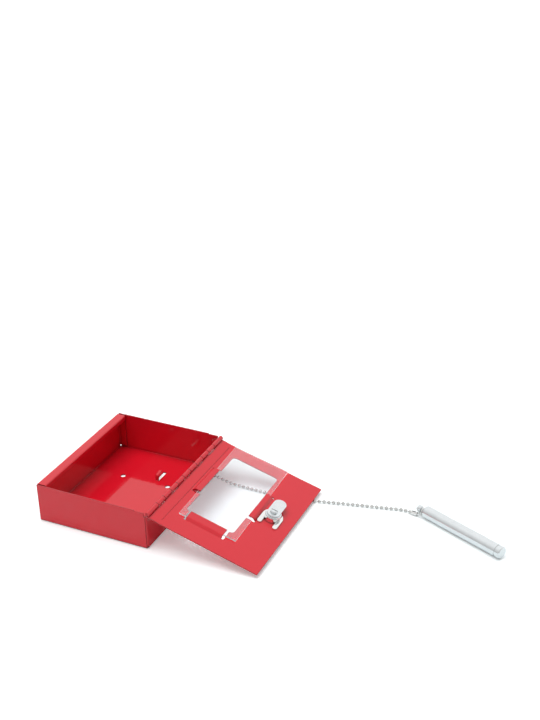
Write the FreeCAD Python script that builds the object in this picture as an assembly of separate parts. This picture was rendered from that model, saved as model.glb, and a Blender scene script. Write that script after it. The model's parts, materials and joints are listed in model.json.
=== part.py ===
import FreeCAD, Part
import math
import os

# Emergency key box: a folded steel tray, a hinged door with a breakable pane, a cam lock and a striker
# on a bead chain. All sizes are in millimetres.
# The box lies on its back. The origin is the centre of the back's outer face, +Z is out of the box
# through its mouth, +X is towards the hinge and +Y is upwards when the box hangs on a wall.
# The door is drawn closed and then swung open to the pose in which the box is shown.

V = FreeCAD.Vector
ACROSS = V(1, 0, 0)
ALONG = V(0, 1, 0)
UP = V(0, 0, 1)

# Tray
case_width = 120.0
case_length = 150.0
case_depth = 40.0
sheet = 1.0
bend_inner = 0.4
flange_width = 10.0
corner_tab = 9.0
corner_opening = 2.6
wall_edge_set = 1.2
wall_hole_diameter = 5.0
wall_hole_spread = 51.6
wall_hole_height = 23.0

# Key hook, lanced out of the back
hook_across = 10.6
hook_root = 28.0
hook_width = 3.2
hook_standoff = 5.5
hook_tip_length = 7.0
hook_tip_rise = 1.0
hook_bend = 0.6
slot_clearance = 0.2
slot_length = 17.5

# Rolled hinge
pin_diameter = 2.5
pin_play = 0.05
pin_end_set = 0.4
pin_chamfer = 0.25
hinge_drop = 2.0
knuckle_pitch = 25.0
tray_knuckles = 5
knuckle_gap = 0.4
curl_sweep = 296.0
curl_clearance = 0.5

# Door
door_reach = 115.0
door_end_gap = 0.5
door_gap = 0.1
door_corner = 0.8
crease_reach = 13.0
crease_width = 0.9
crease_depth = 0.35
crease_end_set = 6.0
notch_clearance = 0.7
door_rest_gap = 0.3

# Window in the door
window_width = 50.0
window_length = 100.0
window_reach = 23.8
window_centre = 8.0
window_corner = 3.5

# Breakable pane
pane_width = 59.0
pane_length = 123.4
pane_thickness = 1.5
pane_play = 0.1
pane_reach = 49.3
pane_centre = 11.3
pane_skew = 1.4

# Tabs that hold the pane, joggled out of the door beside the window
side_tab_length = 40.0
end_tab_length = 38.0
tab_tip_set = 1.0
side_tab_ramp = 6.3
end_tab_ramp = 9.8
ramp_run = 2.6
ramp_bend = 0.4
tab_root = 0.8
tab_relief = 2.2

# Cam lock
lock_reach = 93.3
lock_along = 3.3
bezel_diameter = 20.0
bezel_height = 2.0
bezel_chamfer = 0.6
barrel_diameter = 17.0
barrel_flats = 12.6
barrel_depth = 5.0
lock_hole_clearance = 0.15
groove_depth = 0.7
plug_diameter = 10.9
plug_head_diameter = 13.0
plug_head_height = 1.2
plug_recess = 0.3
plug_play = 0.05
tail_width = 6.0
tail_clearance = 0.05
tail_short = 0.1
keyway_width = 1.6
keyway_height = 6.8
keyway_depth = 6.6
stop_diameter = 15.6
stop_thickness = 0.8
stop_pin_diameter = 1.6
stop_pin_orbit = 6.8
stop_clearance = 0.15
lock_turn = 90.0
cam_width = 12.6
cam_length = 20.5
cam_thickness = 1.5
cam_edge_chamfer = 0.2
cam_to_lip = 0.3
washer_diameter = 6.8
washer_thickness = 0.6
screw_diameter = 3.0
screw_head_diameter = 6.2
screw_head_height = 1.9
screw_head_chamfer = 0.6
screw_slot_width = 0.9
screw_slot_depth = 0.9
screw_engagement = 3.7
screw_clearance = 0.05

# Wafers in the plug, held flush as by the key, with a spring under each one's lug
wafer_codes = [0.0, 0.4, -0.3, 0.2]
wafer_thickness = 0.8
wafer_pitch = 1.3
wafer_head_set = 0.3
wafer_width = 5.0
wafer_play = 0.05
wafer_window_width = 2.2
wafer_window_height = 5.6
wafer_lug_reach = 4.3
wafer_lug_height = 1.0
wafer_travel = 0.5
spring_wire = 0.2
spring_diameter = 0.9
spring_length = 2.8
spring_turns = 3.5
spring_steps = 28
spring_clearance = 0.1
broach_clearance = 0.15

# Horseshoe clip behind the door
clip_outer_radius = 10.4
clip_prong_length = 14.6
clip_thickness = 1.6
clip_edge_chamfer = 0.3
clip_clearance = 0.15

# Chain eyelet in the hinge side of the tray
eyelet_from_end = 24.0
eyelet_height = 7.2
eyelet_bore = 4.2
eyelet_barrel = 5.2
eyelet_flange = 7.2
eyelet_lip = 0.6
eyelet_clearance = 0.1
stop_cup_diameter = 5.2
stop_cup_length = 4.0
stop_cup_gap = 0.2
stop_cup_chamfer = 0.8

# Bead chain: its size over the beads, and the hand-chosen points of its route.
# The first run leaves the eyelet square to the wall and the chain then lies on the table.
bead_diameter = 3.2
chain_route = [
    V(58.2, 51.0, 7.2),
    V(65.2, 51.0, 7.2),
    V(73.4, 51.2, 4.6),
    V(83.6, 50.9, 2.3),
    V(96.5, 51.2, 1.6),
    V(116.0, 50.3, 1.6),
    V(140.0, 51.2, 1.6),
    V(163.0, 54.9, 1.6),
    V(186.0, 60.8, 1.6),
    V(211.0, 66.8, 1.6),
    V(235.0, 72.1, 1.6),
    V(249.5, 75.6, 1.6),
    V(257.5, 77.1, 1.6),
    V(264.3, 75.6, 2.0),
]
arc_share = 0.45

# Striker: a turned rod with a neck and a knob, lying on the table
rod_diameter = 12.0
rod_length = 91.6
rod_end = V(277.9, 76.5, 0.0)
rod_heading = 156.75
tip_chamfer = 0.8
shoulder_chamfer = 0.9
ring_groove_width = 0.8
ring_groove_depth = 0.3
ring_groove_set = 5.0
neck_diameter = 4.0
knob_diameter = 7.0
knob_reach = 6.8

# Ring round the neck and the connector that grips the last bead
ring_wire = 1.2
ring_wire_sides = 8
ring_mean_radius = 3.8
ring_reach = 2.1
ring_play = 0.1
sleeve_diameter = 3.9
sleeve_length = 6.5
sleeve_slit = 1.5
sleeve_bore = 3.3
sleeve_wall_end = 1.0
eye_outer_radius = 1.9
eye_hole_radius = 1.2
eye_play = 0.3
eye_thickness = 0.8
tongue_width = 2.2

# Values worked out from the sizes above
left = -case_width / 2
right = case_width / 2
front = -case_length / 2
rear = case_length / 2
eyelet_along = rear - eyelet_from_end
bend_outer = bend_inner + sheet
bore_radius = pin_diameter / 2 + pin_play
barrel_radius = bore_radius + sheet
hinge_x = right + bore_radius
hinge_z = case_depth - hinge_drop
door_inner = case_depth + door_gap
door_outer = door_inner + sheet
notch_reach = barrel_radius + notch_clearance
knuckle_width = knuckle_pitch / 2 - knuckle_gap
door_front = front + door_end_gap
door_rear = rear - door_end_gap
lock_x = hinge_x - lock_reach
lock_y = lock_along
through = 4.0 * sheet

# Slope of the hinge strip, from the crease down to the top of the rolled barrel
strip_drop = door_inner - hinge_z
strip_slope = math.atan2(strip_drop, crease_reach) - math.asin(bore_radius / math.hypot(strip_drop, crease_reach))

# Opening angle at which the free edge rests just above the chain that passes under it
edge_radius = math.hypot(door_reach, strip_drop + sheet)
edge_height = bead_diameter + door_rest_gap
open_angle = (180.0 - math.degrees(math.atan2(strip_drop + sheet, door_reach))
              + math.degrees(math.asin((hinge_z - edge_height) / edge_radius)))


# Outlines, bent sheet and round bodies

def corner_points(before, corner, after, radius):
    """Start, middle and end of the arc that rounds one corner."""
    back = (before - corner).normalize()
    ahead = (after - corner).normalize()
    half = back.getAngle(ahead) / 2
    reach = radius / math.tan(half)
    centre = corner + (back + ahead).normalize() * (radius / math.sin(half))
    middle = centre + (corner - centre).normalize() * radius
    return corner + back * reach, middle, corner + ahead * reach


def rounded_edges(points, radii, closed):
    """Straight runs joined by tangent arcs; a radius of 0 keeps its corner sharp."""
    count = len(points)
    starts = list(points)
    ends = list(points)
    arcs = {}
    for i in range(count):
        inner = closed or 0 < i < count - 1
        if inner and radii[i] > 0:
            start, middle, end = corner_points(points[i - 1], points[i], points[(i + 1) % count], radii[i])
            starts[i] = start
            ends[i] = end
            arcs[i] = Part.Arc(start, middle, end).toShape()
    edges = []
    last = count if closed else count - 1
    for i in range(last):
        if i in arcs:
            edges.append(arcs[i])
        ahead = starts[(i + 1) % count]
        if ends[i].distanceToPoint(ahead) > 1e-6:
            edges.append(Part.makeLine(ends[i], ahead))
    return edges


def plate(outline, radii, origin, side, up, sweep):
    """A flat outline, given in two directions from an origin, drawn out along a vector."""
    points = [origin + side * a + up * b for a, b in outline]
    wire = Part.Wire(rounded_edges(points, radii, True))
    return Part.Face(wire).extrude(sweep)


def bent_strip(path, thickness, inner_radius):
    """Outline and corner radii of bent sheet that lies to the left of the path of its outer face."""
    count = len(path)
    normals = []
    for i in range(count - 1):
        a = path[i + 1][0] - path[i][0]
        b = path[i + 1][1] - path[i][1]
        size = math.hypot(a, b)
        normals.append((-b / size, a / size))
    offset = []
    path_radii = []
    offset_radii = []
    for i in range(count):
        n1 = normals[max(i - 1, 0)]
        n2 = normals[min(i, count - 2)]
        share = thickness / (1 + n1[0] * n2[0] + n1[1] * n2[1])
        offset.append((path[i][0] + (n1[0] + n2[0]) * share, path[i][1] + (n1[1] + n2[1]) * share))
        turn = n1[0] * n2[1] - n1[1] * n2[0]
        inner = inner_radius if abs(turn) > 1e-9 else 0.0
        outer = inner_radius + thickness if abs(turn) > 1e-9 else 0.0
        path_radii.append(outer if turn > 0 else inner)
        offset_radii.append(inner if turn > 0 else outer)
    return path + offset[::-1], path_radii + offset_radii[::-1]


def block(x0, x1, y0, y1, z0, z1):
    return Part.makeBox(x1 - x0, y1 - y0, z1 - z0, V(x0, y0, z0))


def disc(radius, z_low, z_high):
    """A round body on the lock's axis, with the door closed."""
    return Part.makeCylinder(radius, z_high - z_low, V(lock_x, lock_y, z_low), UP)


def turned(profile, origin, heading, sideways):
    """A body of revolution: the profile gives places along its axis and the radius there."""
    points = [origin + heading * a + sideways * r for a, r in profile]
    face = Part.Face(Part.makePolygon(points + [points[0]]))
    return face.revolve(origin, heading, 360)


def fused(shapes):
    shape = shapes[0].multiFuse(shapes[1:]) if len(shapes) > 1 else shapes[0]
    return shape.removeSplitter()


def on_door(shape):
    """Swings a piece that is drawn with the door closed to the door's resting pose."""
    swung = shape.copy()
    swung.rotate(V(hinge_x, 0, hinge_z), ALONG, open_angle)
    return swung


# Hinge

def curl(start, y_low, y_high):
    """Sheet rolled round the pin, clockwise as seen from the front, from a start angle in degrees."""
    def at(radius, angle):
        turn = math.radians(angle)
        return V(hinge_x + radius * math.cos(turn), y_low, hinge_z + radius * math.sin(turn))
    end = start - curl_sweep
    middle = start - curl_sweep / 2
    edges = [
        Part.Arc(at(barrel_radius, start), at(barrel_radius, middle), at(barrel_radius, end)).toShape(),
        Part.makeLine(at(barrel_radius, end), at(bore_radius, end)),
        Part.Arc(at(bore_radius, end), at(bore_radius, middle), at(bore_radius, start)).toShape(),
        Part.makeLine(at(bore_radius, start), at(barrel_radius, start)),
    ]
    return Part.Face(Part.Wire(edges)).extrude(V(0, y_high - y_low, 0))


def tray_knuckle_spans(extra):
    """Where the tray's own knuckles lie along the hinge, widened at each end by extra."""
    half = knuckle_width / 2 + extra
    middle = (tray_knuckles - 1) / 2
    return [((k - middle) * knuckle_pitch - half, (k - middle) * knuckle_pitch + half)
            for k in range(tray_knuckles)]


def door_knuckle_spans():
    """The door's knuckles fill what the tray's leave free, with a gap at each side."""
    cuts = [door_front]
    for low, high in tray_knuckle_spans(knuckle_gap):
        cuts.extend([low, high])
    cuts.append(door_rear)
    return [(cuts[i], cuts[i + 1]) for i in range(0, len(cuts), 2)]


def hinge_pin():
    start = front + pin_end_set
    length = case_length - 2 * pin_end_set
    pin = Part.makeCylinder(pin_diameter / 2, length, V(hinge_x, start, hinge_z), ALONG)
    ends = [edge for edge in pin.Edges if edge.Closed]
    return pin.makeChamfer(pin_chamfer, ends)


# Tray

def side_walls():
    """Back, lock-side wall with its flange and lip, and hinge-side wall, folded from one sheet.

    The lip reaches down to the level at which the cam turns in behind it.
    """
    path = [
        (left + flange_width, cam_outer + cam_to_lip),
        (left + flange_width, case_depth),
        (left, case_depth),
        (left, 0.0),
        (right, 0.0),
        (right, hinge_z),
    ]
    outline, radii = bent_strip(path, sheet, bend_inner)
    start = front + sheet + bend_outer
    length = case_length - 2 * (sheet + bend_outer)
    return plate(outline, radii, V(0, start, 0), ACROSS, UP, V(0, length, 0))


def end_walls():
    """Back and the two end walls, whose cut edges stop short of the side faces."""
    path = [(front, case_depth), (front, 0.0), (rear, 0.0), (rear, case_depth)]
    outline, radii = bent_strip(path, sheet, bend_inner)
    start = left + wall_edge_set
    return plate(outline, radii, V(start, 0, 0), ALONG, UP, V(case_width - 2 * wall_edge_set, 0, 0))


def corner_return(side, end, top):
    """A side wall's return, bent round behind an end wall. side and end are -1 or 1."""
    face_x = side * case_width / 2
    face_y = end * (case_length / 2 - sheet)
    start = face_y - end * (bend_outer + sheet)
    path = [(face_x, start), (face_x, face_y), (face_x - side * corner_tab, face_y)]
    if side * end < 0:
        path.reverse()
    outline, radii = bent_strip(path, sheet, bend_inner)
    return plate(outline, radii, V(0, 0, corner_opening), ACROSS, ALONG, V(0, 0, top - corner_opening))


def key_hook():
    """The tongue that is lanced out of the back: it stands up and turns towards the top of the box."""
    stand = hook_root + 2 * sheet
    height = sheet + hook_standoff
    path = [
        (hook_root - sheet, 0.0),
        (stand, 0.0),
        (stand, height),
        (stand + hook_tip_length, height + hook_tip_rise),
    ]
    outline, radii = bent_strip(path, sheet, hook_bend)
    start = hook_across - hook_width / 2
    return plate(outline, radii, V(start, 0, 0), ALONG, UP, V(hook_width, 0, 0))


def hook_slot():
    half = hook_width / 2 + slot_clearance
    return block(hook_across - half, hook_across + half, hook_root, hook_root + slot_length, -through, through)


def tray():
    side_top = case_depth - bend_outer
    hinge_top = hinge_z - barrel_radius - curl_clearance
    shell = fused([
        side_walls(),
        end_walls(),
        corner_return(-1, -1, side_top),
        corner_return(-1, 1, side_top),
        corner_return(1, -1, hinge_top),
        corner_return(1, 1, hinge_top),
    ])
    cuts = [hook_slot()]
    # The hinge-side wall is cut down wherever a knuckle of the door turns
    edges = [front]
    for low, high in tray_knuckle_spans(0.0):
        edges.extend([low, high])
    edges.append(rear)
    for i in range(0, len(edges), 2):
        cuts.append(block(right - barrel_radius, right + through, edges[i], edges[i + 1], hinge_top, case_depth + through))
    # The end walls are lower under the sloping hinge strip of the door
    strip_under = hinge_z + bore_radius - door_gap
    strip_start = hinge_x - crease_reach - sheet
    cuts.append(block(strip_start, right - barrel_radius, front - sheet, rear + sheet, strip_under, case_depth + through))
    # Holes: two to fix the back to a wall, and one for the chain's eyelet
    for side in (-1, 1):
        place = V(side * wall_hole_spread / 2, wall_hole_height, -through)
        cuts.append(Part.makeCylinder(wall_hole_diameter / 2, 2 * through, place, UP))
    eyelet_hole = eyelet_barrel / 2 + eyelet_clearance
    cuts.append(Part.makeCylinder(eyelet_hole, 2 * through, V(right - through, eyelet_along, eyelet_height), ACROSS))
    shell = shell.cut(Part.makeCompound(cuts))
    knuckles = [curl(180.0, low, high) for low, high in tray_knuckle_spans(0.0)]
    return fused([shell, key_hook()] + knuckles)


# Door

def door_sheet():
    """Panel and sloping hinge strip in one bent sheet, ending on top of the rolled barrel."""
    tangent = (hinge_x + bore_radius * math.sin(strip_slope), hinge_z + bore_radius * math.cos(strip_slope))
    path = [(hinge_x - door_reach, door_inner), (hinge_x - crease_reach, door_inner), tangent]
    outline, radii = bent_strip(path, sheet, bend_inner)
    width = door_rear - door_front
    panel = plate(outline, radii, V(0, door_front, 0), ACROSS, UP, V(0, width, 0))
    corners = [edge for edge in panel.Edges
               if abs(edge.tangentAt(edge.FirstParameter).z) > 0.99 and edge.CenterOfMass.x < hinge_x - door_reach + sheet]
    return panel.makeFillet(door_corner, corners)


def window_cut():
    half_width = window_width / 2
    half_length = window_length / 2
    middle = V(hinge_x - window_reach - half_width, window_centre, door_inner - through)
    outline = [(-half_width, -half_length), (half_width, -half_length), (half_width, half_length), (-half_width, half_length)]
    return plate(outline, [window_corner] * 4, middle, ACROSS, ALONG, V(0, 0, 2 * through))


def tab_places():
    """Middle of the window's edge, the way out from the window, the tab's length and where it ramps."""
    near = hinge_x - window_reach
    far = near - window_width
    end = window_centre - window_length / 2
    return [
        (V(near, window_centre, 0), ACROSS, side_tab_length, side_tab_ramp),
        (V(far, window_centre, 0), -ACROSS, side_tab_length, side_tab_ramp),
        (V((near + far) / 2, end, 0), -ALONG, end_tab_length, end_tab_ramp),
    ]


def pane_tab(middle, outward, length, ramp):
    """One tab, stepped inwards by the pane's thickness so that the pane slides under it."""
    raised = door_inner - sheet - pane_thickness - 2 * pane_play
    path = [
        (tab_tip_set, raised),
        (ramp, raised),
        (ramp + ramp_run, door_inner),
        (ramp + ramp_run + tab_root, door_inner),
    ]
    outline, radii = bent_strip(path, sheet, ramp_bend)
    along = UP.cross(outward)
    return plate(outline, radii, middle - along * (length / 2), outward, UP, along * length)


def tab_cut(middle, outward, length, ramp):
    """The sheet that a tab takes from the door, with a relief slit at each end."""
    along = UP.cross(outward)
    half = length / 2 + tab_relief
    reach = ramp + ramp_run
    outline = [(-sheet, -half), (reach, -half), (reach, half), (-sheet, half)]
    radii = [0, tab_relief / 2, tab_relief / 2, 0]
    return plate(outline, radii, middle + UP * (door_inner - sheet), outward, along, UP * (3 * sheet))


def crease():
    """The coined line along which the sheet is bent between panel and hinge strip."""
    line = hinge_x - crease_reach
    low = door_front + crease_end_set
    high = door_rear - crease_end_set
    outline = [(line - crease_width / 2, door_inner - sheet), (line + crease_width / 2, door_inner - sheet),
               (line + crease_width / 2, door_inner), (line, door_inner + crease_depth), (line - crease_width / 2, door_inner)]
    return plate(outline, [0] * 5, V(0, low, 0), ACROSS, UP, V(0, high - low, 0))


def double_d(radius, flats, z_low, z_high):
    """A round body with two flats that run along the hinge."""
    round_body = disc(radius, z_low, z_high)
    slab = block(lock_x - flats / 2, lock_x + flats / 2, lock_y - 2 * radius, lock_y + 2 * radius, z_low, z_high)
    return round_body.common(slab)


def door_panel():
    cuts = [window_cut(), crease()]
    for place in tab_places():
        cuts.append(tab_cut(*place))
    for low, high in tray_knuckle_spans(knuckle_gap):
        cuts.append(block(hinge_x - notch_reach, hinge_x + through, low, high, hinge_z - through, door_outer + sheet))
    hole_radius = barrel_diameter / 2 + lock_hole_clearance
    hole_flats = barrel_flats + 2 * lock_hole_clearance
    cuts.append(double_d(hole_radius, hole_flats, door_inner - sheet, door_outer + sheet))
    panel = door_sheet().cut(Part.makeCompound(cuts))
    start = 90.0 - math.degrees(strip_slope)
    pieces = [panel]
    for low, high in door_knuckle_spans():
        pieces.append(curl(start, low, high))
    for place in tab_places():
        pieces.append(pane_tab(*place))
    return fused(pieces)


def window_pane():
    middle = V(hinge_x - pane_reach, pane_centre, door_inner - pane_play - pane_thickness)
    pane = block(-pane_width / 2, pane_width / 2, -pane_length / 2, pane_length / 2, 0.0, pane_thickness)
    pane.rotate(V(0, 0, 0), UP, -pane_skew)
    pane.translate(middle)
    return pane


# Cam lock, drawn with the door closed and the cam turned away from the flange

barrel_end = door_inner - barrel_depth
cam_outer = barrel_end - stop_thickness
cam_inner = cam_outer - cam_thickness
washer_inner = cam_inner - washer_thickness
bezel_face = door_outer + bezel_height
plug_head_low = bezel_face - plug_recess - plug_head_height


def lock_housing():
    bezel = disc(bezel_diameter / 2, door_outer, bezel_face)
    rim = [edge for edge in bezel.Edges if edge.Closed and edge.CenterOfMass.z > door_outer + bezel_height / 2]
    bezel = bezel.makeChamfer(bezel_chamfer, rim)
    barrel = double_d(barrel_diameter / 2, barrel_flats, barrel_end, door_outer)
    stop_pin = Part.makeCylinder(stop_pin_diameter / 2, stop_thickness, V(lock_x, lock_y + stop_pin_orbit, cam_outer), UP)
    groove_low = door_inner - clip_thickness - clip_clearance
    half = barrel_flats / 2
    cuts = [
        disc(plug_diameter / 2 + plug_play, barrel_end - through, bezel_face + sheet),
        disc(plug_head_diameter / 2 + plug_play, plug_head_low - plug_play, bezel_face + sheet),
    ]
    # Broached grooves that the wafers spring into when the key is drawn
    width = wafer_width / 2 + broach_clearance
    reach = plug_diameter / 2 + wafer_travel + broach_clearance
    low = wafer_level(len(wafer_codes) - 1) - wafer_thickness / 2 - broach_clearance
    cuts.append(block(lock_x - width, lock_x + width, lock_y - reach, lock_y + reach, low, plug_head_low))
    for side in (-1, 1):
        inner = lock_x + side * (half - groove_depth)
        outer = lock_x + side * (half + sheet)
        low, high = sorted((inner, outer))
        cuts.append(block(low, high, lock_y - barrel_diameter, lock_y + barrel_diameter, groove_low, door_inner))
    return fused([bezel, barrel, stop_pin]).cut(Part.makeCompound(cuts))


def wafer_level(number):
    """Middle height of one wafer; the first lies next to the plug's head."""
    return plug_head_low - wafer_head_set - wafer_thickness / 2 - number * wafer_pitch


def wafer_plan(number, spare):
    """A wafer's outline without its window, grown by spare on every side."""
    low = wafer_level(number) - wafer_thickness / 2 - spare
    high = low + wafer_thickness + 2 * spare
    half = wafer_width / 2 + spare
    body = block(lock_x - half, lock_x + half, lock_y - plug_diameter, lock_y + plug_diameter, low, high)
    lug_high = wafer_lug_height + spare + (wafer_travel if spare else 0.0)
    lug = block(lock_x, lock_x + wafer_lug_reach + spare, lock_y - spare, lock_y + lug_high, low, high)
    return body.fuse(lug)


def wafer(number):
    level = wafer_level(number)
    body = wafer_plan(number, 0.0).common(disc(plug_diameter / 2, level - wafer_pitch, level + wafer_pitch))
    half_width = wafer_window_width / 2
    half_height = wafer_window_height / 2
    middle = lock_y + wafer_codes[number]
    window = block(lock_x - half_width, lock_x + half_width, middle - half_height, middle + half_height,
                   level - wafer_thickness, level + wafer_thickness)
    return body.cut(window).removeSplitter()


def spring_place(number):
    """Foot of a wafer's spring, beside the wafer and under its lug."""
    across = (wafer_width / 2 + wafer_lug_reach) / 2
    return V(lock_x + across, lock_y - spring_length - wafer_play, wafer_level(number))


def wafer_spring(number):
    """A coil of square wire, drawn in short straight steps."""
    coil_radius = (spring_diameter - spring_wire) / 2
    half = spring_wire / 2
    sections = []
    for step in range(spring_steps + 1):
        turn = 2 * math.pi * spring_turns * step / spring_steps
        rise = (spring_length - spring_wire) * step / spring_steps
        out = V(math.cos(turn), math.sin(turn), 0)
        corners = [out * (coil_radius + a * half) + UP * (rise + b * half) for a, b in ((-1, -1), (1, -1), (1, 1), (-1, 1))]
        sections.append(Part.makePolygon(corners + [corners[0]]))
    coil = Part.makeLoft(sections, True, True)
    coil.rotate(V(0, 0, 0), ACROSS, -90)
    coil.translate(spring_place(number) + ALONG * half)
    return coil


def tail_block(extra, z_low, z_high):
    half = tail_width / 2 + extra
    return block(lock_x - half, lock_x + half, lock_y - half, lock_y + half, z_low, z_high)


def lock_plug():
    tail_end = cam_inner + tail_short
    body = fused([
        disc(plug_head_diameter / 2, plug_head_low, bezel_face - plug_recess),
        disc(plug_diameter / 2, barrel_end, plug_head_low),
        tail_block(0.0, tail_end, barrel_end),
    ])
    keyway = block(lock_x - keyway_width / 2, lock_x + keyway_width / 2, lock_y - keyway_height / 2,
                   lock_y + keyway_height / 2, bezel_face - keyway_depth, bezel_face)
    screw_hole = disc(screw_diameter / 2 + screw_clearance, tail_end, washer_inner + screw_engagement + screw_clearance)
    cuts = [keyway, screw_hole]
    for number in range(len(wafer_codes)):
        cuts.append(wafer_plan(number, wafer_play))
        pocket_radius = spring_diameter / 2 + spring_clearance
        cuts.append(Part.makeCylinder(pocket_radius, spring_length + wafer_play, spring_place(number), ALONG))
    for cut in cuts:
        body = body.cut(cut)
    return body


def stop_washer():
    """Limits the turn: the housing's pin stands in the washer's notch."""
    body = disc(stop_diameter / 2, cam_outer, barrel_end)
    pin_radius = stop_pin_diameter / 2 + stop_clearance
    spare = math.degrees(math.asin(pin_radius / stop_pin_orbit))
    ring = disc(stop_diameter, cam_outer, barrel_end).cut(disc(stop_pin_orbit - pin_radius, cam_outer, barrel_end))
    low = math.radians(90.0 - lock_turn - spare)
    high = math.radians(90.0 + spare)
    reach = 3 * stop_diameter
    wedge = [(0, 0), (reach * math.cos(low), reach * math.sin(low)), (reach * math.cos((low + high) / 2),
             reach * math.sin((low + high) / 2)), (reach * math.cos(high), reach * math.sin(high))]
    notch = ring.common(plate(wedge, [0] * 4, V(lock_x, lock_y, cam_outer), ACROSS, ALONG, UP * stop_thickness))
    return body.cut(notch).cut(tail_block(tail_clearance, cam_outer, barrel_end))


def cam():
    """A flat latch with round ends; its tip turns in just under the tray's lip."""
    half = cam_width / 2
    plan = [(-half, -half), (half, -half), (half, cam_length), (-half, cam_length)]
    latch = plate(plan, [half] * 4, V(lock_x, lock_y, cam_inner), ACROSS, ALONG, UP * cam_thickness)
    rim = [edge for edge in latch.Edges if edge.BoundBox.ZMax < cam_inner + cam_thickness / 2]
    latch = latch.makeChamfer(cam_edge_chamfer, rim)
    return latch.cut(tail_block(tail_clearance, cam_inner - sheet, barrel_end))


def cam_washer():
    ring = disc(washer_diameter / 2, washer_inner, cam_inner)
    return ring.cut(disc(screw_diameter / 2 + screw_clearance, washer_inner, cam_inner))


def cam_screw():
    low = washer_inner - screw_head_height
    head = screw_head_diameter / 2
    shank = screw_diameter / 2
    profile = [
        (0.0, 0.0),
        (0.0, head - screw_head_chamfer),
        (screw_head_chamfer, head),
        (screw_head_height, head),
        (screw_head_height, shank),
        (screw_head_height + screw_engagement, shank),
        (screw_head_height + screw_engagement, 0.0),
    ]
    screw = turned(profile, V(lock_x, lock_y, low), UP, ACROSS)
    slot = block(lock_x - screw_head_diameter, lock_x + screw_head_diameter, lock_y - screw_slot_width / 2,
                 lock_y + screw_slot_width / 2, low, low + screw_slot_depth)
    return screw.cut(slot)


def lock_clip():
    """The horseshoe that slides into the housing's grooves and holds the lock in the door."""
    inner = barrel_flats / 2 - groove_depth + clip_clearance
    crown = barrel_diameter / 2 + clip_clearance
    shoulder = math.sqrt(crown ** 2 - inner ** 2)
    outer = clip_outer_radius
    foot = -clip_prong_length
    toe = (outer - inner) / 2
    place = V(lock_x, lock_y, door_inner - clip_thickness)

    def at(a, b):
        return place + V(a, b, 0)
    edges = [Part.Arc(at(outer, 0), at(0, outer), at(-outer, 0)).toShape(),
             Part.Arc(at(inner, shoulder), at(0, crown), at(-inner, shoulder)).toShape()]
    for side in (-1, 1):
        middle = side * (outer + inner) / 2
        edges.append(Part.makeLine(at(side * outer, 0), at(side * outer, foot + toe)))
        edges.append(Part.Arc(at(side * outer, foot + toe), at(middle, foot), at(side * inner, foot + toe)).toShape())
        edges.append(Part.makeLine(at(side * inner, foot + toe), at(side * inner, shoulder)))
    wire = Part.Wire(Part.__sortEdges__(edges))
    clip = Part.Face(wire).extrude(UP * clip_thickness)
    face_edges = [edge for edge in clip.Edges if edge.BoundBox.ZMax < place.z + clip_thickness / 2]
    outer_arc = max(face_edges, key=lambda edge: edge.BoundBox.YMax)
    return clip.makeChamfer(clip_edge_chamfer, [outer_arc])


# Chain, striker and what joins them

def chain_eyelet():
    """A flanged eyelet closed over the hole in the hinge-side wall."""
    origin = V(right, eyelet_along, eyelet_height)
    bore = eyelet_bore / 2
    profile = [
        (eyelet_lip, bore),
        (eyelet_lip, eyelet_flange / 2 - eyelet_lip / 2),
        (eyelet_lip / 2, eyelet_flange / 2),
        (0.0, eyelet_flange / 2),
        (0.0, eyelet_barrel / 2),
        (-sheet, eyelet_barrel / 2),
        (-sheet, eyelet_flange / 2 - eyelet_lip / 2),
        (-sheet - eyelet_lip, eyelet_flange / 2 - eyelet_lip),
        (-sheet - eyelet_lip, bore),
    ]
    return turned(profile, origin, ACROSS, UP)


def chain_stop():
    """The cup crimped on the chain's last bead, which can't pass the eyelet."""
    start = V(right - sheet - eyelet_lip - stop_cup_gap, eyelet_along, eyelet_height)
    radius = stop_cup_diameter / 2
    profile = [
        (0.0, 0.0),
        (0.0, radius - stop_cup_chamfer),
        (stop_cup_chamfer, radius),
        (stop_cup_length - stop_cup_chamfer, radius),
        (stop_cup_length, radius - stop_cup_chamfer),
        (stop_cup_length, 0.0),
    ]
    return turned(profile, start, -ACROSS, UP)


def route_radii(points):
    """Each corner's arc is as large as its two runs allow."""
    radii = [0.0]
    for i in range(1, len(points) - 1):
        back = points[i - 1] - points[i]
        ahead = points[i + 1] - points[i]
        turn = math.pi - back.getAngle(ahead)
        radii.append(arc_share * min(back.Length, ahead.Length) / math.tan(turn / 2))
    return radii + [0.0]


def bead_chain():
    """The chain's free stretch as one round body over the beads."""
    radii = route_radii(chain_route)
    path = Part.Wire(rounded_edges(chain_route, radii, False))
    heading = (chain_route[1] - chain_route[0]).normalize()
    section = Part.Wire(Part.makeCircle(bead_diameter / 2, chain_route[0], heading))
    chain = path.makePipeShell([section], True, False)
    expected = math.pi * bead_diameter ** 2 / 4 * path.Length
    print("chain radii", [round(radius, 1) for radius in radii[1:-1]])
    print("chain length", round(path.Length, 1), "volume", round(chain.Volume, 1), "section x length", round(expected, 1))
    return chain


def striker_frame():
    """The near end of the rod, the way to the knob, and the level direction square to it."""
    turn = math.radians(rod_heading)
    heading = V(math.cos(turn), math.sin(turn), 0)
    sideways = V(-math.sin(turn), math.cos(turn), 0)
    return rod_end + UP * (rod_diameter / 2), heading, sideways


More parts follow.
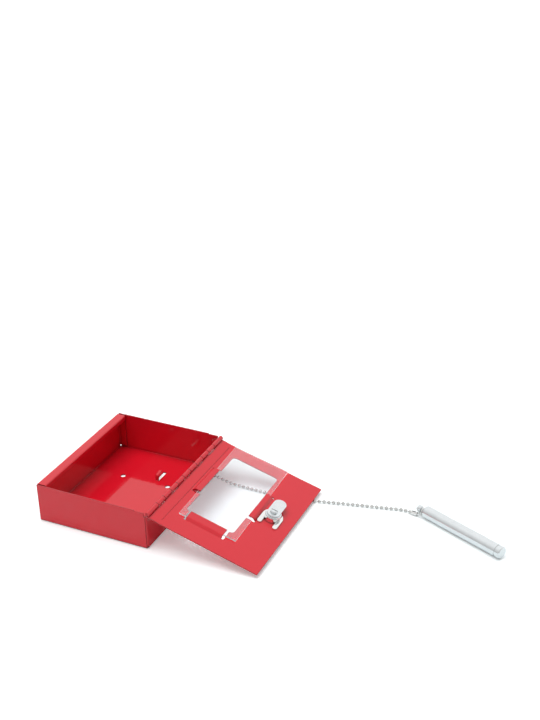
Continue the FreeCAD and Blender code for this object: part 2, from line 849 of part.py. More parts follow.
def striker_rod():
    origin, heading, sideways = striker_frame()
    rod = rod_diameter / 2
    neck = neck_diameter / 2
    groove = ring_groove_set - rod_length
    profile = [
        (-rod_length, 0.0),
        (-rod_length, rod - tip_chamfer),
        (tip_chamfer - rod_length, rod),
        (groove, rod),
        (groove, rod - ring_groove_depth),
        (groove + ring_groove_width, rod - ring_groove_depth),
        (groove + ring_groove_width, rod),
        (-shoulder_chamfer, rod),
        (0.0, rod - shoulder_chamfer),
        (0.0, neck),
        (knob_reach, neck),
        (knob_reach, 0.0),
    ]
    knob = Part.makeSphere(knob_diameter / 2, origin + heading * knob_reach)
    return fused([turned(profile, origin, heading, sideways), knob])


def ring_centre():
    origin, heading, sideways = striker_frame()
    sag = ring_mean_radius - ring_wire / 2 - neck_diameter / 2 - ring_play
    return origin + heading * ring_reach - UP * sag


def striker_ring():
    """A closed wire ring that hangs in the neck, its round wire drawn with flats."""
    origin, heading, sideways = striker_frame()
    step = 2 * math.pi / ring_wire_sides
    outer = ring_wire / 2 / math.cos(step / 2)
    profile = [(outer * math.cos((k + 0.5) * step), ring_mean_radius + outer * math.sin((k + 0.5) * step))
               for k in range(ring_wire_sides)]
    return turned(profile, ring_centre(), heading, sideways)


def chain_connector():
    """A slit sleeve round the last bead, with a tongue and an eye that holds the ring."""
    origin, rod_way, sideways = striker_frame()
    start = chain_route[-1]
    heading = (chain_route[-1] - chain_route[-2]).normalize()
    sleeve = Part.makeCylinder(sleeve_diameter / 2, sleeve_length, start, heading)
    bore_start = start + heading * sleeve_wall_end
    bore = Part.makeCylinder(sleeve_bore / 2, sleeve_length - 2 * sleeve_wall_end, bore_start, heading)
    level = heading.cross(UP).normalize()
    top = level.cross(heading).normalize()
    slit_start = bore_start - level * (sleeve_slit / 2)
    slit_outline = [(0, 0), (sleeve_length - 2 * sleeve_wall_end, 0), (sleeve_length - 2 * sleeve_wall_end, sleeve_diameter),
                    (0, sleeve_diameter)]
    slit = plate(slit_outline, [0] * 4, slit_start, heading, top, level * sleeve_slit)
    eye_slack = eye_hole_radius - ring_wire / 2 - eye_play
    eye_centre = ring_centre() + sideways * (ring_mean_radius + eye_slack)
    sleeve_end = start + heading * (sleeve_length - sleeve_wall_end)
    reach = eye_centre - sleeve_end
    along = (reach * 1.0).normalize()
    across = along.cross(UP).normalize()
    normal = across.cross(along).normalize()
    tongue_start = sleeve_end - across * (tongue_width / 2) - normal * (eye_thickness / 2)
    tongue_outline = [(0, 0), (reach.Length, 0), (reach.Length, tongue_width), (0, tongue_width)]
    tongue = plate(tongue_outline, [0] * 4, tongue_start, along, across, normal * eye_thickness)
    eye = Part.makeCylinder(eye_outer_radius, eye_thickness, eye_centre - normal * (eye_thickness / 2), normal)
    hole = Part.makeCylinder(eye_hole_radius, 2 * eye_thickness, eye_centre - normal * eye_thickness, normal)
    hollow = sleeve.cut(Part.makeCompound([bore, slit]))
    return fused([hollow, tongue.cut(bore), eye]).cut(hole)


# Nodes, each written to its own file

nodes = {
    "tray": tray(),
    "hinge_pin": hinge_pin(),
    "door_panel": on_door(door_panel()),
    "window_pane": on_door(window_pane()),
    "lock_housing": on_door(lock_housing()),
    "lock_clip": on_door(lock_clip()),
    "lock_plug": on_door(lock_plug()),
    "wafer_springs": on_door(Part.makeCompound([wafer_spring(number) for number in range(len(wafer_codes))])),
    "stop_washer": on_door(stop_washer()),
    "cam": on_door(cam()),
    "cam_washer": on_door(cam_washer()),
    "cam_screw": on_door(cam_screw()),
    "chain_eyelet": chain_eyelet(),
    "chain_stop": chain_stop(),
    "bead_chain": bead_chain(),
    "chain_connector": chain_connector(),
    "striker_ring": striker_ring(),
    "striker_rod": striker_rod(),
}

for number in range(len(wafer_codes)):
    nodes["wafer_" + str(number + 1)] = on_door(wafer(number))

os.makedirs("parts", exist_ok=True)
print("open angle", round(open_angle, 3), "hinge", round(hinge_x, 3), round(hinge_z, 3))
for name, shape in nodes.items():
    shape.exportStep("parts/" + name + ".step")
    print(name, "solids", len(shape.Solids), "volume", round(shape.Volume, 2), "valid", shape.isValid())
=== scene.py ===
# %% [markdown]
# # An emergency key box
# The object is a shallow box folded from sheet steel and powder coated red. Its door has a window with a clear
# pane that is broken to reach the key, a cam lock, and a turned striker on a bead chain. The box lies on its back
# with the door laid open beside it.
#
# The shapes of the rigid parts come from the CAD model, which is loaded as a fixed frame. Blender adds what CAD
# leaves plain: the beads of the chain, the finishes, the edges that catch the light, and the light itself.

# %% Load the frame
import json
import math

import bmesh
import bpy
from mathutils import Matrix, Vector


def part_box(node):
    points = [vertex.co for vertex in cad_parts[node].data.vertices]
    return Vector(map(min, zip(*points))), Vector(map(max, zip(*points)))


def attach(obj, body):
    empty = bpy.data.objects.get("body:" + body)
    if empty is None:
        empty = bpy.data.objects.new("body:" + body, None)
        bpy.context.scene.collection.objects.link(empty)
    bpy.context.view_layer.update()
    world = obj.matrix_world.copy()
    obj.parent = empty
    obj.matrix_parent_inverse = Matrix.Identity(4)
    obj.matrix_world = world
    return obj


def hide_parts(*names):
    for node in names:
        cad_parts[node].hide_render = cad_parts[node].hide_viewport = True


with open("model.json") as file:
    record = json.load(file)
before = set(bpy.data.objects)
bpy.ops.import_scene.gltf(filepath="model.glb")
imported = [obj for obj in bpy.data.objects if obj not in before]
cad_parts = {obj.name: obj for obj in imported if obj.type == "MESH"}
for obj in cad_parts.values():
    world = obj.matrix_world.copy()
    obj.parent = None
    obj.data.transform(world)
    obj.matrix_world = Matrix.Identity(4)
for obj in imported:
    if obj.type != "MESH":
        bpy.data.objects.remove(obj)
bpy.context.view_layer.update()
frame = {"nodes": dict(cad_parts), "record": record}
nodes = frame["nodes"]

# %% [markdown]
# ## Camera
# The camera comes first, because everything that follows is compared with the photograph through it. Its place,
# its turn and its lens were found from the corners of the box, which is a plain block with square corners, so
# that three sets of parallel edges fix the perspective. Blender measures a lens against the longer side of the
# picture, so the focal length in pixels is turned into millimetres of a 36 mm sensor.

# %% Camera at the photograph's viewing angle
PICTURE_HEIGHT = 720
SENSOR = 36.0
focal_pixels = 1170.43
camera_place = Vector((0.54252, -0.82558, 0.64540))
camera_azimuth = math.radians(25.264)
camera_elevation = math.radians(27.033)
camera_roll = math.radians(-1.097)

back = Vector((math.sin(camera_azimuth) * math.cos(camera_elevation),
               -math.cos(camera_azimuth) * math.cos(camera_elevation),
               math.sin(camera_elevation)))
level = Vector((math.cos(camera_azimuth), math.sin(camera_azimuth), 0.0))
upright = back.cross(level)
right = math.cos(camera_roll) * level + math.sin(camera_roll) * upright
up = math.cos(camera_roll) * upright - math.sin(camera_roll) * level

camera_data = bpy.data.cameras.new("camera")
camera_data.sensor_width = SENSOR
camera_data.lens = focal_pixels / PICTURE_HEIGHT * SENSOR
camera_data.clip_start = 0.01
camera_data.clip_end = 30.0
camera = bpy.data.objects.new("camera", camera_data)
camera.matrix_world = Matrix((right, up, back)).transposed().to_4x4()
camera.location = camera_place
bpy.context.scene.collection.objects.link(camera)
bpy.context.scene.camera = camera
bpy.context.scene.view_settings.view_transform = "Standard"
print("lens", round(camera_data.lens, 2), "mm")

# %% [markdown]
# ## The chain's route
# The chain leaves an eyelet in the side of the box, drops to the table in a limp bend and runs under the door to
# the striker. A bead chain can't twist or spring, so it lies just as it was dropped. Its route is a list of given
# points, and a smooth curve is drawn near them: an order of 3 keeps the curve inside its corners, and the
# end points are used so that it starts and ends where the metal does.

# %% Route of the chain as a smooth curve
chain_route = [
    (0.0582, 0.0510, 0.0072),
    (0.0652, 0.0510, 0.0072),
    (0.0734, 0.0512, 0.0046),
    (0.0836, 0.0509, 0.0023),
    (0.0965, 0.0512, 0.0016),
    (0.1160, 0.0503, 0.0016),
    (0.1400, 0.0512, 0.0016),
    (0.1630, 0.0549, 0.0016),
    (0.1860, 0.0608, 0.0016),
    (0.2110, 0.0668, 0.0016),
    (0.2350, 0.0721, 0.0016),
    (0.2495, 0.0756, 0.0016),
    (0.2575, 0.0771, 0.0016),
    (0.2643, 0.0756, 0.0020),
]


def smooth_line(points):
    """The points of a smooth curve drawn near a route, as Blender itself works them out."""
    curve = bpy.data.curves.new("route", "CURVE")
    curve.dimensions = "3D"
    curve.resolution_u = 24
    spline = curve.splines.new("NURBS")
    spline.points.add(len(points) - 1)
    for place, point in zip(spline.points, points):
        place.co = (*point, 1.0)
    spline.order_u = 3
    spline.use_endpoint_u = True
    holder = bpy.data.objects.new("route", curve)
    bpy.context.scene.collection.objects.link(holder)
    bpy.context.view_layer.update()
    drawn = bpy.data.meshes.new_from_object(holder.evaluated_get(bpy.context.evaluated_depsgraph_get()))
    line = [vertex.co.copy() for vertex in drawn.vertices]
    bpy.data.meshes.remove(drawn)
    bpy.data.objects.remove(holder)
    return line


chain_line = smooth_line(chain_route)
chain_length = sum((b - a).length for a, b in zip(chain_line, chain_line[1:]))
print("chain", round(chain_length * 1000, 1), "mm along", len(chain_line), "points")

# %% [markdown]
# ## Beads and links
# Each bead of such a chain is a hollow ball rolled from thin strip, with a hole at each end in which the head of a
# short wire link sits. The ball is drawn as a profile turned round the chain's line: it is a little flat at its
# holes, where the strip's edge is turned in. The link is a thin pin between two beads. Making all of them from one
# profile keeps them alike, as stamped ones are.

# %% A bead and a link, turned round the chain's line
bead_radius = 0.0016
bead_pitch = 0.00472
hole_radius = 0.00055
link_radius = 0.00036
link_waist = 0.00028
sides = 20


def turned_mesh(bm, profile, place, sides):
    """Adds a turned body to a mesh: the profile gives places along the axis and the radius there."""
    rings = []
    for along, radius in profile:
        ring = []
        for k in range(sides):
            turn = 2 * math.pi * k / sides
            ring.append(bm.verts.new(place @ Vector((radius * math.cos(turn), radius * math.sin(turn), along))))
        rings.append(ring)
    for low, high in zip(rings, rings[1:]):
        for k in range(sides):
            bm.faces.new((low[k], low[(k + 1) % sides], high[(k + 1) % sides], high[k]))
    bm.faces.new(rings[0][::-1])
    bm.faces.new(rings[-1])


hole_angle = math.asin(hole_radius / bead_radius)
bead_steps = 12
bead_profile = [(-bead_radius * 0.86, hole_radius * 0.7)]
for step in range(bead_steps + 1):
    turn = hole_angle + (math.pi - 2 * hole_angle) * step / bead_steps
    bead_profile.append((-bead_radius * math.cos(turn), bead_radius * math.sin(turn)))
bead_profile.append((bead_radius * 0.86, hole_radius * 0.7))
half_gap = bead_pitch / 2 - bead_radius * 0.8
link_profile = [(-half_gap, link_radius), (-half_gap * 0.5, link_waist), (half_gap * 0.5, link_waist), (half_gap, link_radius)]
print("bead profile", len(bead_profile), "points")

# %% [markdown]
# The beads are set along the line at an even pitch, measured along the curve, because the links don't stretch.
# Each one is turned to the line's own direction there.

# %% Set the beads along the line


def place_along(line, distance):
    """A frame at a distance along a line, with Z pointing along it."""
    for a, b in zip(line, line[1:]):
        step = (b - a).length
        if distance <= step:
            break
        distance -= step
    heading = (b - a).normalized()
    return Matrix.Translation(a + heading * distance) @ heading.to_track_quat("Z", "Y").to_matrix().to_4x4()


def finished(bm, name, smooth_angle=30):
    """A mesh object from a bmesh, smooth except at edges sharper than an angle."""
    mesh = bpy.data.meshes.new(name)
    bmesh.ops.recalc_face_normals(bm, faces=bm.faces)
    bm.to_mesh(mesh)
    bm.free()
    piece = bpy.data.objects.new(name, mesh)
    bpy.context.scene.collection.objects.link(piece)
    mesh.shade_smooth()
    mesh.set_sharp_from_angle(angle=math.radians(smooth_angle))
    return piece


gaps = round((chain_length - 2 * bead_radius) / bead_pitch)
pitch = (chain_length - 2 * bead_radius) / gaps
chain_bm = bmesh.new()
for number in range(gaps + 1):
    turned_mesh(chain_bm, bead_profile, place_along(chain_line, bead_radius + number * pitch), sides)
for number in range(gaps):
    turned_mesh(chain_bm, link_profile, place_along(chain_line, bead_radius + (number + 0.5) * pitch), sides // 2)
chain_beads = finished(chain_bm, "chain_beads", 50)
print("beads", gaps + 1, "at a pitch of", round(pitch * 1000, 2), "mm")

# %% [markdown]
# ## The ring in the striker's neck
# The chain's connector holds the striker by a small ring of bent wire. The CAD model draws its round wire with
# flats, so a smooth one takes its place: a circle of wire with a hairline gap where its ends meet, as on any jump
# ring that is closed with pliers.

# %% The wire ring
ring_low, ring_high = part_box("striker_ring")
ring_middle = (ring_low + ring_high) / 2
rod_heading = math.radians(156.75)
ring_axis = Vector((math.cos(rod_heading), math.sin(rod_heading), 0.0))
ring_side = Vector((-ring_axis.y, ring_axis.x, 0.0))
wire_radius = 0.0006
ring_radius = (ring_high.z - ring_low.z) / 2 - wire_radius
ring_turns = 72
ring_wire_steps = 16

ring_bm = bmesh.new()
ring_loops = []
for step in range(ring_turns + 1):
    turn = math.radians(64 + 357.5 * step / ring_turns)
    out = ring_side * math.cos(turn) + Vector((0, 0, 1)) * math.sin(turn)
    centre = ring_middle + out * ring_radius
    loop = []
    for k in range(ring_wire_steps):
        around = 2 * math.pi * k / ring_wire_steps
        loop.append(ring_bm.verts.new(centre + (out * math.cos(around) + ring_axis * math.sin(around)) * wire_radius))
    ring_loops.append(loop)
for a, b in zip(ring_loops, ring_loops[1:]):
    for k in range(ring_wire_steps):
        ring_bm.faces.new((a[k], a[(k + 1) % ring_wire_steps], b[(k + 1) % ring_wire_steps], b[k]))
ring_bm.faces.new(ring_loops[0][::-1])
ring_bm.faces.new(ring_loops[-1])
neck_ring = finished(ring_bm, "neck_ring", 50)
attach(neck_ring, "case")
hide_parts("striker_ring")
print("ring", round(ring_radius * 2000, 2), "mm across the wire's middle")

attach(chain_beads, "case")
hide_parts("bead_chain")

# %% [markdown]
# ## Floor and light
# The box stands on a plain white floor in a room of white light, as in a light tent. What the camera, a mirror or
# a pane sees is plain white, but the light that falls on the object is kept at a level at which a colour looks as
# it is written. Most of it comes from all sides, and one soft sun high up gives the shadows their direction. On the
# side where the photographer stands the room is darker near the horizon. Only mirrors see that, and it draws the
# dark line along the striker and the dark rims of the beads.

# %% White floor that keeps the shadows


def new_material(name):
    material = bpy.data.materials.new(name)
    material.use_nodes = True
    tree = material.node_tree
    return material, tree, tree.nodes["Principled BSDF"]


floor_mesh = bpy.data.meshes.new("floor")
floor_size = 8.0
floor_mesh.from_pydata([(-floor_size, -floor_size, 0), (floor_size, -floor_size, 0), (floor_size, floor_size, 0),
                        (-floor_size, floor_size, 0)], [], [(0, 1, 2, 3)])
floor = bpy.data.objects.new("floor", floor_mesh)
floor.location.z = -0.0002
bpy.context.scene.collection.objects.link(floor)

floor_material, tree, shader = new_material("floor_white")
shader.inputs["Base Color"].default_value = (0.85, 0.90, 0.91, 1)
shader.inputs["Roughness"].default_value = 0.9
shader.inputs["Specular IOR Level"].default_value = 0.0
seen = tree.nodes.new("ShaderNodeLightPath")
or_pane = tree.nodes.new("ShaderNodeMath")
or_pane.operation = "MAXIMUM"
lift = tree.nodes.new("ShaderNodeMath")
lift.operation = "MULTIPLY"
lift.inputs[1].default_value = 0.26
tree.links.new(seen.outputs["Is Camera Ray"], or_pane.inputs[0])
tree.links.new(seen.outputs["Is Transmission Ray"], or_pane.inputs[1])
tree.links.new(or_pane.outputs[0], lift.inputs[0])
shader.inputs["Emission Color"].default_value = (1, 1, 1, 1)
tree.links.new(lift.outputs[0], shader.inputs["Emission Strength"])
floor_mesh.materials.append(floor_material)
print("floor ready")

# %% White surroundings and a soft sun


def light_path_sum(tree, names):
    """1 where a ray is of any of the named kinds, otherwise 0."""
    seen = tree.nodes.new("ShaderNodeLightPath")
    total = seen.outputs[names[0]]
    for name in names[1:]:
        either = tree.nodes.new("ShaderNodeMath")
        either.operation = "MAXIMUM"
        tree.links.new(total, either.inputs[0])
        tree.links.new(seen.outputs[name], either.inputs[1])
        total = either.outputs[0]
    return total


def map_range(tree, value, from_low, from_high, to_low, to_high, smooth=False):
    node = tree.nodes.new("ShaderNodeMapRange")
    node.interpolation_type = "SMOOTHSTEP" if smooth else "LINEAR"
    node.inputs["From Min"].default_value = from_low
    node.inputs["From Max"].default_value = from_high
    node.inputs["To Min"].default_value = to_low
    node.inputs["To Max"].default_value = to_high
    tree.links.new(value, node.inputs["Value"])
    return node.outputs["Result"]


def multiplied(tree, first, second):
    node = tree.nodes.new("ShaderNodeMath")
    node.operation = "MULTIPLY"
    tree.links.new(first, node.inputs[0])
    tree.links.new(second, node.inputs[1])
    return node.outputs[0]


world = bpy.data.worlds.new("studio")
bpy.context.scene.world = world
world.use_nodes = True
tree = world.node_tree
background = tree.nodes["Background"]
background.inputs["Color"].default_value = (1, 1, 1, 1)
heading = tree.nodes.new("ShaderNodeTexCoord").outputs["Generated"]
split = tree.nodes.new("ShaderNodeSeparateXYZ")
tree.links.new(heading, split.inputs[0])
low_down = map_range(tree, split.outputs["Z"], 0.0, 1.0, 1.0, 0.1)
towards = tree.nodes.new("ShaderNodeVectorMath")
towards.operation = "DOT_PRODUCT"
towards.inputs[1].default_value = (0.15, -0.99, 0.0)
tree.links.new(heading, towards.inputs[0])
near_side = map_range(tree, towards.outputs["Value"], -0.35, 0.35, 0.0, 1.0, True)
dimming = multiplied(tree, low_down, near_side)
mirrored = map_range(tree, dimming, 0.0, 1.0, 1.0, 0.48)
seen = tree.nodes.new("ShaderNodeLightPath")
white_or_fill = map_range(tree, light_path_sum(tree, ["Is Camera Ray", "Is Transmission Ray"]), 0.0, 1.0, 0.46, 1.0)
choice = tree.nodes.new("ShaderNodeMix")
choice.data_type = "FLOAT"
tree.links.new(seen.outputs["Is Glossy Ray"], choice.inputs[0])
tree.links.new(white_or_fill, choice.inputs[2])
tree.links.new(mirrored, choice.inputs[3])
tree.links.new(choice.outputs[0], background.inputs["Strength"])

sun_data = bpy.data.lights.new("soft_sun", "SUN")
sun_data.energy = 2.05
sun_data.angle = math.radians(50)
soft_sun = bpy.data.objects.new("soft_sun", sun_data)
soft_sun.visible_glossy = False
soft_sun.rotation_euler = Vector((-0.12, -0.08, 1.0)).to_track_quat("Z", "Y").to_euler()
bpy.context.scene.collection.objects.link(soft_sun)

# %% [markdown]
# ## Shared effects
# Two effects turn up in more than one finish, so each is a node group. *Orange peel* is the faint ripple that a
# powder coat keeps when it melts and sets. *Plating grain* is the fine drawn or tumbled texture under a metal
# plating, with slow clouds in its shine. Each group puts out a height for a bump and a mask for the roughness.

# %% Orange peel of a powder coat


def new_group(name, inputs, outputs):
    """An empty node group with number inputs and number outputs."""
    group = bpy.data.node_groups.new(name, "ShaderNodeTree")
    for socket_name, value in inputs.items():
        socket = group.interface.new_socket(socket_name, in_out="INPUT", socket_type="NodeSocketFloat")
        socket.default_value = value
    for socket_name in outputs:
        group.interface.new_socket(socket_name, in_out="OUTPUT", socket_type="NodeSocketFloat")
    return group, group.nodes.new("NodeGroupInput"), group.nodes.new("NodeGroupOutput")


def noise(tree, scale, detail, place):
    node = tree.nodes.new("ShaderNodeTexNoise")
    node.inputs["Detail"].default_value = detail
    tree.links.new(place, node.inputs["Vector"])
    if isinstance(scale, bpy.types.NodeSocket):
        tree.links.new(scale, node.inputs["Scale"])
    else:
        node.inputs["Scale"].default_value = scale
    return node.outputs["Fac"]


orange_peel, ins, outs = new_group("orange_peel", {"Ripples Per Metre": 700.0, "Specks Per Metre": 5000.0}, ["Height", "Mottle"])
where = orange_peel.nodes.new("ShaderNodeTexCoord").outputs["Object"]
ripple = noise(orange_peel, ins.outputs["Ripples Per Metre"], 1.0, where)
speck = noise(orange_peel, ins.outputs["Specks Per Metre"], 0.0, where)
both = orange_peel.nodes.new("ShaderNodeMath")
both.operation = "MULTIPLY_ADD"
both.inputs[1].default_value = 0.12
orange_peel.links.new(speck, both.inputs[0])
orange_peel.links.new(ripple, both.inputs[2])
orange_peel.links.new(both.outputs[0], outs.inputs["Height"])
orange_peel.links.new(noise(orange_peel, 45.0, 3.0, where), outs.inputs["Mottle"])
print("group", orange_peel.name)

# %% Grain under a plating
plating_grain, ins, outs = new_group("plating_grain", {"Lines Per Metre": 3000.0, "Stretch": 1.0}, ["Height", "Cloud"])
where = plating_grain.nodes.new("ShaderNodeTexCoord").outputs["Object"]
stretched = plating_grain.nodes.new("ShaderNodeVectorMath")
stretched.operation = "MULTIPLY"
across = plating_grain.nodes.new("ShaderNodeCombineXYZ")
across.inputs["X"].default_value = 1.0
across.inputs["Y"].default_value = 1.0
plating_grain.links.new(ins.outputs["Stretch"], across.inputs["Z"])
plating_grain.links.new(where, stretched.inputs[0])
plating_grain.links.new(across.outputs[0], stretched.inputs[1])
plating_grain.links.new(noise(plating_grain, ins.outputs["Lines Per Metre"], 2.0, stretched.outputs[0]), outs.inputs["Height"])
plating_grain.links.new(noise(plating_grain, 160.0, 3.0, where), outs.inputs["Cloud"])
print("group", plating_grain.name)

# %% [markdown]
# A third effect reads the form itself. The shader's rounded normal leaves the flat one within a short reach of an
# edge, and how far it leaves it marks the edges. How little of the sky a point sees within a short reach marks the
# crevices. Both go into one mask of painted shade that darkens a finish: a dark line along each edge, and darker
# seams of a hinge, gaps under a clip and corners, where less light falls.

# %% Masks of painted shade on the edges and in the crevices
painted_shade_masks, ins, outs = new_group("painted_shade_masks", {"Edge Reach": 0.0008, "Crevice Reach": 0.006, "Edge Share": 1.0,
                                                 "Crevice Share": 1.0}, ["Dark"])
rounded = painted_shade_masks.nodes.new("ShaderNodeBevel")
rounded.samples = 6
flat = painted_shade_masks.nodes.new("ShaderNodeNewGeometry")
agreement = painted_shade_masks.nodes.new("ShaderNodeVectorMath")
agreement.operation = "DOT_PRODUCT"
painted_shade_masks.links.new(ins.outputs["Edge Reach"], rounded.inputs["Radius"])
painted_shade_masks.links.new(rounded.outputs["Normal"], agreement.inputs[0])
painted_shade_masks.links.new(flat.outputs["Normal"], agreement.inputs[1])
edge_shade = map_range(painted_shade_masks, agreement.outputs["Value"], 0.80, 0.99, 1.0, 0.0, True)
openness = painted_shade_masks.nodes.new("ShaderNodeAmbientOcclusion")
openness.samples = 8
painted_shade_masks.links.new(ins.outputs["Crevice Reach"], openness.inputs["Distance"])
crevice_shade = map_range(painted_shade_masks, openness.outputs["AO"], 0.15, 0.85, 1.0, 0.0, True)
edge_part = multiplied(painted_shade_masks, edge_shade, ins.outputs["Edge Share"])
crevice_part = multiplied(painted_shade_masks, crevice_shade, ins.outputs["Crevice Share"])
larger = painted_shade_masks.nodes.new("ShaderNodeMath")
larger.operation = "MAXIMUM"
painted_shade_masks.links.new(edge_part, larger.inputs[0])
painted_shade_masks.links.new(crevice_part, larger.inputs[1])
painted_shade_masks.links.new(larger.outputs[0], outs.inputs["Dark"])
print("group", painted_shade_masks.name)

# %% [markdown]
# ## Finishes
# The red is a gloss powder coat: a saturated colour under a clear skin, so most of what reads as pink on the door
# and the front is the white room mirrored in it. A small bevel worked out by the shader rounds the cut edges of
# the sheet, as the coat does on the real one, and gives them their bright hairlines.

# %% Red powder coat


def worked_surface(tree, shader, group, height, cloud, depth, rough_low, rough_high, edge_radius):
    """Feeds a shared effect into a shader's roughness and normal, with rounded edges underneath."""
    effect = tree.nodes.new("ShaderNodeGroup")
    effect.node_tree = group
    rough = tree.nodes.new("ShaderNodeMapRange")
    rough.inputs["From Min"].default_value = 0.3
    rough.inputs["From Max"].default_value = 0.7
    rough.inputs["To Min"].default_value = rough_low
    rough.inputs["To Max"].default_value = rough_high
    bump = tree.nodes.new("ShaderNodeBump")
    bump.inputs["Strength"].default_value = 1.0
    bump.inputs["Distance"].default_value = depth
    edge = tree.nodes.new("ShaderNodeBevel")
    edge.samples = 6
    edge.inputs["Radius"].default_value = edge_radius
    tree.links.new(effect.outputs[cloud], rough.inputs["Value"])
    tree.links.new(rough.outputs["Result"], shader.inputs["Roughness"])
    tree.links.new(effect.outputs[height], bump.inputs["Height"])
    tree.links.new(edge.outputs["Normal"], bump.inputs["Normal"])
    tree.links.new(bump.outputs["Normal"], shader.inputs["Normal"])
    return effect


def mottled(tree, low, high, mask):
    """A colour that drifts between two tones."""
    tone = tree.nodes.new("ShaderNodeMix")
    tone.data_type = "RGBA"
    tone.inputs["A"].default_value = (*low, 1)
    tone.inputs["B"].default_value = (*high, 1)
    tree.links.new(mask, tone.inputs["Factor"])
    return tone.outputs["Result"]


def shaded_tone(tree, shader, tone, dark, edge_share, crevice_share, edge_reach, crevice_reach):
    """Feeds a tone to the base colour with painted shade, turning darker on the edges and down in the crevices."""
    effect = tree.nodes.new("ShaderNodeGroup")
    effect.node_tree = painted_shade_masks
    effect.inputs["Edge Reach"].default_value = edge_reach
    effect.inputs["Crevice Reach"].default_value = crevice_reach
    effect.inputs["Edge Share"].default_value = edge_share
    effect.inputs["Crevice Share"].default_value = crevice_share
    blend = tree.nodes.new("ShaderNodeMix")
    blend.data_type = "RGBA"
    blend.inputs["B"].default_value = (*dark, 1)
    tree.links.new(effect.outputs["Dark"], blend.inputs["Factor"])
    tree.links.new(tone, blend.inputs["A"])
    tree.links.new(blend.outputs["Result"], shader.inputs["Base Color"])


red_coat, tree, shader = new_material("red_powder_coat")
shader.inputs["IOR"].default_value = 1.55
effect = worked_surface(tree, shader, orange_peel, "Height", "Mottle", 0.000004, 0.04, 0.09, 0.00025)
tone = mottled(tree, (0.650, 0.0075, 0.0200), (0.690, 0.0095, 0.0240), effect.outputs["Mottle"])
# The dark red is painted shade on the coat's edges and in its crevices.
shaded_tone(tree, shader, tone, (0.13, 0.0010, 0.0030), 0.9, 0.8, 0.0008, 0.006)
print("finish", red_coat.name)

# %% Plated metals and the hinge wire


def plated(name, low, high, rough_low, rough_high, lines, stretch, depth, edge_radius, crevice_share=0.9):
    """A plated metal whose shine drifts a little and whose grain shows close up."""
    material, tree, shader = new_material(name)
    shader.inputs["Metallic"].default_value = 1.0
    effect = worked_surface(tree, shader, plating_grain, "Height", "Cloud", depth, rough_low, rough_high, edge_radius)
    effect.inputs["Lines Per Metre"].default_value = lines
    effect.inputs["Stretch"].default_value = stretch
    tone = mottled(tree, low, high, effect.outputs["Cloud"])
    # A fifth of the metal's tone is painted shade on its edges and in its crevices.
    shaded_tone(tree, shader, tone, tuple(0.2 * c for c in low), 0.2, crevice_share, edge_radius * 2, 0.002)
    return material


nickel_plate = plated("nickel_plate", (0.88, 0.88, 0.87), (0.94, 0.94, 0.93), 0.10, 0.18, 2500.0, 1.0, 0.000002, 0.00012)
zinc_plate = plated("zinc_plate", (0.75, 0.79, 0.81), (0.85, 0.88, 0.89), 0.18, 0.26, 3500.0, 1.0, 0.000003, 0.00015, 0.5)
brass_stamped = plated("brass_stamped", (0.62, 0.42, 0.14), (0.74, 0.53, 0.20), 0.22, 0.34, 4000.0, 1.0, 0.000003, 0.00008)
drawn_wire = plated("drawn_wire", (0.46, 0.46, 0.46), (0.60, 0.60, 0.60), 0.22, 0.36, 5000.0, 1.0, 0.000002, 0.0001)
print("finishes", nickel_plate.name, zinc_plate.name, brass_stamped.name, drawn_wire.name)

# %% [markdown]
# The beads are tumbled in bulk before they are joined, so they are greyer than the lock. Near its rim a bead
# mirrors its neighbours and the dark gaps between them, which is put into the colour here, because at this size
# the ball's rim is far thinner than a picture point.

# %% Rolled beads
rolled_beads, tree, shader = new_material("rolled_beads")
shader.inputs["Metallic"].default_value = 1.0
effect = worked_surface(tree, shader, plating_grain, "Height", "Cloud", 0.000002, 0.12, 0.2, 0.00005)
tone = mottled(tree, (0.66, 0.66, 0.64), (0.76, 0.76, 0.74), effect.outputs["Cloud"])
facing = tree.nodes.new("ShaderNodeLayerWeight")
facing.inputs["Blend"].default_value = 0.5
rim = map_range(tree, facing.outputs["Facing"], 0.25, 0.75, 0.0, 1.0, True)
blend = tree.nodes.new("ShaderNodeMix")
blend.data_type = "RGBA"
blend.inputs["B"].default_value = (0.16, 0.155, 0.15, 1)
tree.links.new(rim, blend.inputs["Factor"])
tree.links.new(tone, blend.inputs["A"])
tree.links.new(blend.outputs["Result"], shader.inputs["Base Color"])
print("finish", rolled_beads.name)
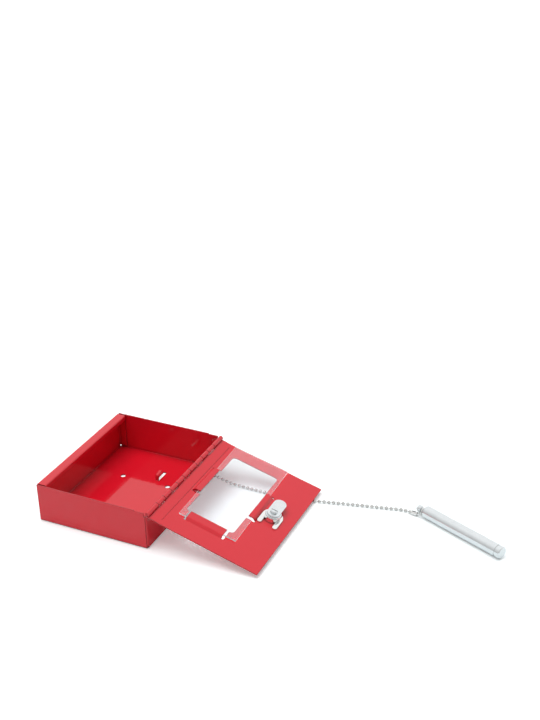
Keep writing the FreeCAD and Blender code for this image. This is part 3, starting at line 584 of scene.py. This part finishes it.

# %% [markdown]
# The pane is a thin clear sheet. Real glass would stop the lamps and leave the floor under it dark unless every
# bent ray were followed, so it casts no shadow of its own. The camera still sees true glass, with
# the white room mirrored on its face. The sheet was sawn to size, so its edges are matt, and a faint painted glow
# on them stands in for the light that travels inside the sheet and leaves there: that makes the thin light line
# around the pane. The mask for it is the side faces of the sheet, found from the direction that a face looks in
# against that of the sheet.

# %% Mask of the pane's sawn edges
pane_low, pane_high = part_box("window_pane")
pane_slope = math.atan2(pane_high.z - pane_low.z, pane_high.x - pane_low.x)
sawn_edge, ins, outs = new_group("sawn_edge", {"Sharpness": 1.0}, ["Sawn"])
facing_of = sawn_edge.nodes.new("ShaderNodeTexCoord")
out_of_sheet = sawn_edge.nodes.new("ShaderNodeVectorMath")
out_of_sheet.operation = "DOT_PRODUCT"
out_of_sheet.inputs[1].default_value = (math.sin(pane_slope), 0.0, math.cos(pane_slope))
sawn_edge.links.new(facing_of.outputs["Normal"], out_of_sheet.inputs[0])
either_way = sawn_edge.nodes.new("ShaderNodeMath")
either_way.operation = "ABSOLUTE"
sawn_edge.links.new(out_of_sheet.outputs["Value"], either_way.inputs[0])
sides_only = map_range(sawn_edge, either_way.outputs[0], 0.4, 0.8, 1.0, 0.0)
sawn_edge.links.new(multiplied(sawn_edge, sides_only, ins.outputs["Sharpness"]), outs.inputs["Sawn"])
print("pane lies at", round(math.degrees(pane_slope), 1), "degrees")

# %% Clear pane
clear_pane, tree, shader = new_material("clear_pane")
shader.inputs["Base Color"].default_value = (0.80, 0.82, 0.84, 1)
shader.inputs["IOR"].default_value = 1.5
shader.inputs["Transmission Weight"].default_value = 0.94
sawn = tree.nodes.new("ShaderNodeGroup")
sawn.node_tree = sawn_edge
tree.links.new(map_range(tree, sawn.outputs["Sawn"], 0.0, 1.0, 0.02, 0.55), shader.inputs["Roughness"])
# Painted glow: a faint light of their own on the sawn edges stands in for the light that leaves the sheet there.
shader.inputs["Emission Color"].default_value = (1.0, 0.93, 0.93, 1)
tree.links.new(map_range(tree, sawn.outputs["Sawn"], 0.0, 1.0, 0.0, 0.25), shader.inputs["Emission Strength"])
nodes["window_pane"].visible_shadow = False
print("finish", clear_pane.name)

# %% [markdown]
# ## Dressing the parts
# Every part of the frame takes the finish of its material slot, so that a repaint later changes all the parts that
# share it.

# %% Give each part its finish
finish_of_slot = {
    "red_paint": red_coat,
    "pane_clear": clear_pane,
    "nickel": nickel_plate,
    "zinc": zinc_plate,
    "brass": brass_stamped,
    "pin_steel": drawn_wire,
}
for part in frame["record"]["subparts"]:
    mesh = nodes[part["node"]].data
    mesh.materials.clear()
    mesh.materials.append(finish_of_slot[part["material_slot"]])
chain_beads.data.materials.append(rolled_beads)
neck_ring.data.materials.append(nickel_plate)
